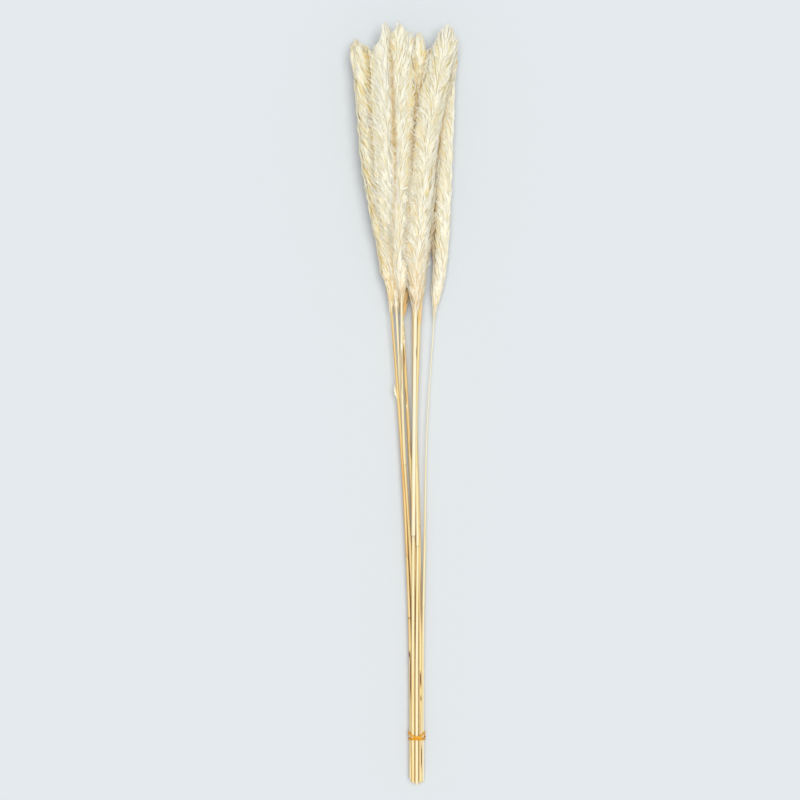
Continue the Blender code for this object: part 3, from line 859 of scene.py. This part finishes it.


# The straw's values: grain is the place in its pattern, pale and the stains are as in their tables, one of
# the stains being painted shade, edge is painted shade on the sides where culms meet, joint the rings of the
# joint and the sheath's end, and pith the middle of the cut end.

def make_culm(stem, material):
    """A culm with its flutes, its joint, the sheath that grows up from there, and a cut end with pith."""
    joint, sheath_end, thickness = stem.sheath
    stations, shares = culm_rings(stem)
    rng = np.random.default_rng(SEED * 200 + ord(stem.name))
    y = np.repeat(stations, STRAW_SIDES)
    angle = np.tile(circle(STRAW_SIDES), len(stations))
    share = np.repeat(shares, STRAW_SIDES)
    flute = 0.03 * np.cos(3 * angle + rng.uniform(0, 6)) + 0.02 * np.cos(7 * angle + y / 90)
    slant = sheath_end + 2.5 * np.cos(angle + rng.uniform(0, 6))
    sheath = np.clip((y - joint) / 1.0, 0, 1) * np.clip((slant - y) / 0.8, 0, 1)
    plain = JOINTS.get(stem.name, PLAIN_JOINT)
    up = (y - CUT_Y) / (stem.neck[1] - CUT_Y)
    swell = 0.22 * plain * near(y, joint, 1.3) - 0.06 * near(y, joint - 2.6, 1.2)
    bare = culm_radius(stem, y) * np.interp(up, *THINNED.get(stem.name, ((0, 1), (1, 1))))
    radius = bare + flute + thickness * sheath + swell
    # Painted shade: the culm's left and right sides, where it meets its neighbours, turn orange brown, most
    # at the foot.
    side_shade = SIDE_SHADE.get(stem.name, 1.0) * np.clip((np.abs(np.cos(angle)) - 0.72) / 0.24, 0, 1)
    grain = np.stack([np.cos(angle), y / 45, np.sin(angle)], axis=-1)
    values = {
        "grain": grain + 3.0 * ord(stem.name),
        "pale": np.interp(up, (0, 0.5, 1), PALENESS[stem.name]) + 0.06 * sheath,
        "edge": side_shade * np.interp(up, (0, 0.5, 1), (1.0, 0.7, 0.25)),
        "joint": plain * (near(y, joint, 1.0) + 0.5 * near(y, slant, 1.2)),
        "stain": stain_and_shade_at(stem, y, angle),
        "pith": share < PITH_SHARE + 0.01,
    }
    points = ring_points(stem, y, angle, radius * share)
    part = points, tube_triangles(len(stations), STRAW_SIDES)[:, ::-1], values
    if stem.name == "a":
        part = joined([part, make_flake(stem)])
    culm = make_piece(f"culm_{stem.name}_straw", *part, material)
    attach(culm, "root")
    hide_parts("culm_" + stem.name)


def ring_points(stem, y, angle, radius):
    spots = LINES[stem.name].at(y) + directions(angle) * radius[:, None]
    return np.stack([spots[:, 0], y, spots[:, 1]], axis=-1)


def stain_and_shade_at(stem, y, angle):
    """How brown the stains of a culm, and culm a's streak of painted shade, are at its points, or how white
    below 0.
    """
    total = np.zeros(len(y))
    for middle, half_length, turn, half_width, strength in STAINS_AND_SHADE.get(stem.name, ()):
        aside = np.abs((np.degrees(angle) - turn + 180) % 360 - 180)
        along = np.clip(1.6 - np.abs(y - middle) / half_length, 0, 1)
        total += strength * along * np.clip(1.6 - aside / half_width, 0, 1)
    return np.clip(total, -1, 1)


def make_flake(stem):
    """The torn bit of sheath that stands off the outermost culm: a thin scale with a ragged edge."""
    share = np.repeat(np.linspace(0, 1, FLAKE_RINGS), FLAKE_SIDES)
    angle = np.tile(circle(FLAKE_SIDES), FLAKE_RINGS)
    y = FLAKE_Y + FLAKE_LENGTH * share
    spots = LINES[stem.name].at(y)
    ragged = 1 + 0.3 * np.sin(23 * share) * (np.cos(angle) < 0)
    half = 1.5 * np.sin(math.pi * (0.12 + 0.85 * share)) * ragged
    x = spots[:, 0] - 0.6 - (FLAKE_REACH - 2.4) * np.sin(2.2 * share) + half * np.cos(angle)
    z = spots[:, 1] + 0.4 + 0.8 * share + 0.22 * np.sin(angle)
    flat = np.zeros(len(y))
    values = {
        "grain": np.stack([x / 2, y / 45, z / 9], axis=-1),
        "pale": flat + 0.95,
        "edge": flat,
        "joint": flat,
        "stain": 0.35 * (np.cos(angle) > 0.5),
        "pith": flat,
    }
    return np.stack([x, y, z], axis=-1), tube_triangles(FLAKE_RINGS, FLAKE_SIDES)[:, ::-1], values


# Rubber band

def band_path():
    """The middle of the strand on its three turns at even steps, and how much each is the upper strand."""
    spots = np.array([(stem.slot[0] * PITCH, stem.slot[1] * ROW) for stem in STEMS])
    turn = np.linspace(0, 2 * math.pi * BAND_TURNS, TURN_STEPS * BAND_TURNS, endpoint=False)
    out = directions(turn + math.pi / 2)
    spot = spots[np.argmax(out @ spots.T, axis=1)]
    crossing = ((1 - np.cos(turn)) / 2) ** 2.5
    phase = turn / BAND_TURNS - CROSSING_DELAY * np.sin(turn) + math.pi / 2
    height = COIL * crossing
    fan = BAND_SPREAD + SIDE_SPREAD * np.sin(turn) ** 2
    spread = SHOWN_SPREAD * fan * (1 - crossing) + CROSSING_SPREAD * crossing
    upper = np.exp(-((turn - 4 * math.pi) / 1.9) ** 4)
    reach = CULM_RADIUS + SHOWN_GAP + SHOWN_THICK / 2 + height + height * np.sin(phase)
    reach += 0.5 * upper * np.cos(turn) ** 4
    middle = np.array([TIE_X + SHIFT_X, TIE_Z]) + spot + out * reach[:, None]
    path = np.stack([middle[:, 0], SHOWN_Y + spread * np.cos(phase), middle[:, 1], upper], axis=-1)
    path = np.vstack([path, path[:1]])
    run = np.concatenate([[0], np.cumsum(np.linalg.norm(np.diff(path[:, :3], axis=0), axis=1))])
    even = np.linspace(0, run[-1], BAND_RINGS, endpoint=False)
    x, y, z, upper = (np.interp(even, run, column) for column in path.T)
    aside = (x - TIE_X - SHIFT_X) / (2 * PITCH)
    return np.stack([x, y + SAG * upper * aside**2, z], axis=-1), upper


def make_band(material):
    path, upper = band_path()
    ahead = unit(np.roll(path, -1, axis=0) - np.roll(path, 1, axis=0))
    out = unit(np.cross(np.array([0.0, 1.0, 0.0]), ahead))
    beside = np.cross(ahead, out)
    angle = circle(BAND_SIDES)
    square = (np.abs(np.cos(angle)) ** 4 + np.abs(np.sin(angle)) ** 4) ** -0.25
    wide = SHOWN_WIDE[1] + (SHOWN_WIDE[0] - SHOWN_WIDE[1]) * upper[:, None, None]
    points = (
        path[:, None]
        + out[:, None] * (SHOWN_THICK / 2 * square * np.cos(angle))[None, :, None]
        + beside[:, None] * wide / 2 * (square * np.sin(angle))[None, :, None]
    ).reshape(-1, 3)
    points[:, 2] = np.maximum(points[:, 2], 0.02)
    triangles = tube_triangles(BAND_RINGS, BAND_SIDES, closed=True)
    band = make_piece("rubber_band_strand", points, triangles, {}, material)
    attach(band, "root")
    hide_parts("rubber_band")


# Materials

class Nodes:
    """Adds nodes to a material that ends in one principled shader."""

    def __init__(self, name, **settings):
        self.material = bpy.data.materials.new(name)
        self.material.use_nodes = True
        self.tree = self.material.node_tree
        self.shader = self.tree.nodes["Principled BSDF"]
        for socket, value in settings.items():
            self.shader.inputs[socket.replace("_", " ")].default_value = value

    def add(self, kind, inputs, **settings):
        node = self.tree.nodes.new(kind)
        for name, value in settings.items():
            setattr(node, name, value)
        for socket, value in inputs.items():
            if isinstance(value, bpy.types.NodeSocket):
                self.tree.links.new(value, node.inputs[socket])
            else:
                node.inputs[socket].default_value = value
        return node

    def attribute(self, name, output="Fac"):
        return self.add("ShaderNodeAttribute", {}, attribute_name=name).outputs[output]

    def place(self):
        return self.add("ShaderNodeTexCoord", {}).outputs["Object"]

    def noise(self, vector, scale=1.0, detail=2.0):
        node = self.add("ShaderNodeTexNoise", {"Vector": vector, "Scale": scale, "Detail": detail})
        return node.outputs["Fac"]

    def stretch(self, vector, scale):
        node = self.add("ShaderNodeVectorMath", {0: vector, 1: scale}, operation="MULTIPLY")
        return node.outputs["Vector"]

    def math(self, operation, first, second, third=0.0):
        node = self.add("ShaderNodeMath", {0: first, 1: second, 2: third}, operation=operation)
        return node.outputs["Value"]

    def weighted(self, total, *parts):
        """Adds parts, each a value and its weight, to a number."""
        for value, weight in parts:
            total = self.math("MULTIPLY_ADD", value, weight, total)
        return total

    def ramp(self, value, stops):
        node = self.add("ShaderNodeValToRGB", {"Fac": value})
        elements = node.color_ramp.elements
        while len(elements) < len(stops):
            elements.new(1.0)
        for element, (position, colour) in zip(elements, stops):
            element.position = position
            element.color = linear(colour)
        return node.outputs["Color"]

    def mix(self, share, first, second):
        node = self.add("ShaderNodeMix", {0: share, 6: first, 7: second}, data_type="RGBA")
        return node.outputs[2]

    def bump(self, height, strength, distance):
        node = self.add("ShaderNodeBump", {"Height": height, "Strength": strength, "Distance": distance})
        self.tree.links.new(node.outputs["Normal"], self.shader.inputs["Normal"])

    def end(self, **sockets):
        for socket, value in sockets.items():
            self.tree.links.new(value, self.shader.inputs[socket.replace("_", " ")])
        return self.material


def linear(colour):
    """A colour given in 0 to 255, as it looks on a screen, in the four values that a shader takes."""
    shares = [c / 255 for c in colour]
    return [s / 12.92 if s < 0.04 else ((s + 0.055) / 1.055) ** 2.4 for s in shares] + [1.0]


CREASE_SHADE_COLOUR = (202, 158, 62)
RIPE_COLOUR = (240, 204, 104)
WARM_COLOUR = (232, 190, 118)
BROWN = (112, 40, 22)
SIDE_SHADE_COLOUR = (206, 124, 30)
WHITE_STAIN = (250, 246, 226)
PITH_COLOUR = (240, 226, 186)


def silk_material():
    """Silky hair: golden where it leaves the stalk, partly painted shade, cream along the barbs, nearly
    white on their tips, and darker gold painted shade where plumes meet.
    """
    nodes = Nodes("silk", Roughness=0.6, Sheen_Weight=0.2, Sheen_Roughness=0.45, Specular_IOR_Level=0.3)
    patches = nodes.noise(nodes.stretch(nodes.place(), (70.0, 25.0, 70.0)))
    combed = nodes.noise(nodes.attribute("comb", "Vector"), 0.5, 3.0)
    tone, light, fleck = (nodes.attribute(name) for name in ("tone", "light", "fleck"))
    value = nodes.weighted(-0.79, (tone, 0.6), (light, 0.45), (fleck, 0.45), (patches, 0.24), (combed, 1.0))
    colour = nodes.ramp(value, [
        (0.0, (223, 180, 94)),
        (0.25, (237, 219, 157)),
        (0.5, (242, 234, 200)),
        (0.8, (248, 246, 230)),
    ])
    # Painted shade: a darker gold in the creases between plumes and under plumes that cover others.
    crease_shaded = nodes.math("MULTIPLY_ADD", fleck, -0.15, 1.0)
    crease_shaded = nodes.math("MULTIPLY", crease_shaded, nodes.attribute("fold"))
    colour = nodes.mix(crease_shaded, colour, linear(CREASE_SHADE_COLOUR))
    gold = nodes.math("MULTIPLY", nodes.math("SUBTRACT", 0.96, value), nodes.attribute("warm"))
    colour = nodes.mix(gold, colour, linear(WARM_COLOUR))
    colour = nodes.mix(nodes.attribute("ripe"), colour, linear(RIPE_COLOUR))
    nodes.bump(combed, 0.6, 0.0012)
    return nodes.end(Base_Color=colour)


def straw_material():
    """Glossy straw from orange brown to cream, with long streaks, brown joints, stains, and painted shade in
    orange brown on the sides where culms meet and in one streak on culm a.
    """
    nodes = Nodes("straw", Specular_IOR_Level=0.3)
    grain = nodes.attribute("grain", "Vector")
    streaks = nodes.noise(nodes.stretch(grain, (2.6, 0.8, 2.6)), detail=3.0)
    fibres = nodes.noise(nodes.stretch(grain, (11.0, 0.5, 11.0)))
    value = nodes.weighted(-0.65, (nodes.attribute("pale"), 1.0), (streaks, 0.9), (fibres, 0.4))
    colour = nodes.ramp(value, [
        (0.0, (168, 100, 44)),
        (0.2, (216, 162, 90)),
        (0.38, (232, 200, 132)),
        (0.56, (235, 220, 160)),
        (0.8, (238, 232, 200)),
    ])
    # Painted shade on the sides where culms meet.
    colour = nodes.mix(nodes.attribute("edge"), colour, linear(SIDE_SHADE_COLOUR))
    joint = nodes.math("MULTIPLY", nodes.attribute("joint"), 0.6)
    colour = nodes.mix(joint, colour, linear(BROWN))
    # Brown stains, and on culm a one streak of painted shade.
    stain = nodes.attribute("stain")
    colour = nodes.mix(nodes.math("MAXIMUM", stain, 0.0), colour, linear(BROWN))
    white = nodes.math("MAXIMUM", nodes.math("MULTIPLY", stain, -1.0), 0.0)
    colour = nodes.mix(white, colour, linear(WHITE_STAIN))
    colour = nodes.mix(nodes.attribute("pith"), colour, linear(PITH_COLOUR))
    rough = nodes.math("MULTIPLY_ADD", fibres, 0.25, 0.42)
    nodes.bump(fibres, 0.3, 0.0002)
    return nodes.end(Base_Color=colour, Roughness=rough)


def rubber_material():
    """Golden rubber, a little cloudy."""
    nodes = Nodes("orange_rubber", Specular_IOR_Level=0.3)
    cloud = nodes.noise(nodes.place(), 300.0)
    colour = nodes.ramp(cloud, [(0.3, (214, 144, 0)), (0.55, (232, 162, 4)), (0.8, (242, 180, 24))])
    nodes.bump(nodes.noise(nodes.place(), 1500.0), 0.08, 0.0001)
    return nodes.end(Base_Color=colour, Roughness=nodes.math("MULTIPLY_ADD", cloud, 0.2, 0.42))


# Floor, light and camera. The photo is PHOTO_WIDTH pixels wide, each of PIXEL millimetres at the plumes.
PHOTO_WIDTH = 800
PIXEL = 0.9797
VIEW_CENTRE = (-5.05, 4.25)
VIEW_HEIGHT = 2000.0
FOCUS_Z = 25.0
SENSOR = 36.0
FLOOR_HALF = 30000.0
FLOOR_GREY = (210, 215, 218)
ROOM = (176, 176, 176)
WINDOW_FROM = (0.06, 0.04, 0.9)
WINDOW_WIDTH = 40.0
WINDOW_LIGHT = 2.43


def make_floor():
    nodes = Nodes("pale_floor", Roughness=0.9, Specular_IOR_Level=0.1)
    speckle = nodes.noise(nodes.place(), 300.0)
    tones = [(0.3, FLOOR_GREY), (0.7, [c + 0.6 for c in FLOOR_GREY])]
    nodes.end(Base_Color=nodes.ramp(speckle, tones))
    half = FLOOR_HALF * MM
    corners = [(-half, -half, 0), (half, -half, 0), (half, half, 0), (-half, half, 0)]
    mesh = bpy.data.meshes.new("floor")
    mesh.from_pydata(corners, [], [(0, 1, 2, 3)])
    mesh.materials.append(nodes.material)
    floor = add_object("floor", mesh)


def make_light():
    """A pale room all round, and one broad soft window nearly overhead."""
    world = bpy.data.worlds.new("room")
    bpy.context.scene.world = world
    world.use_nodes = True
    world.node_tree.nodes["Background"].inputs["Color"].default_value = linear(ROOM)
    lamp = bpy.data.lights.new("window", "SUN")
    lamp.angle = math.radians(WINDOW_WIDTH)
    lamp.energy = WINDOW_LIGHT
    obj = add_object("window", lamp)
    obj.rotation_euler = Vector(WINDOW_FROM).to_track_quat("Z", "Y").to_euler()


def make_camera():
    camera = bpy.data.cameras.new("camera")
    camera.sensor_width = SENSOR
    camera.lens = SENSOR * (VIEW_HEIGHT - FOCUS_Z) / (PHOTO_WIDTH * PIXEL)
    camera.clip_start = 0.05
    obj = add_object("camera", camera)
    obj.location = Vector((*VIEW_CENTRE, VIEW_HEIGHT)) * MM
    bpy.context.scene.camera = obj


def main():
    bpy.context.scene.view_settings.view_transform = "Standard"
    make_camera()
    make_floor()
    make_light()
    silk = silk_material()
    straw = straw_material()
    for stem in STEMS:
        make_plume(stem, silk)
        make_culm(stem, straw)
    make_band(rubber_material())


main()
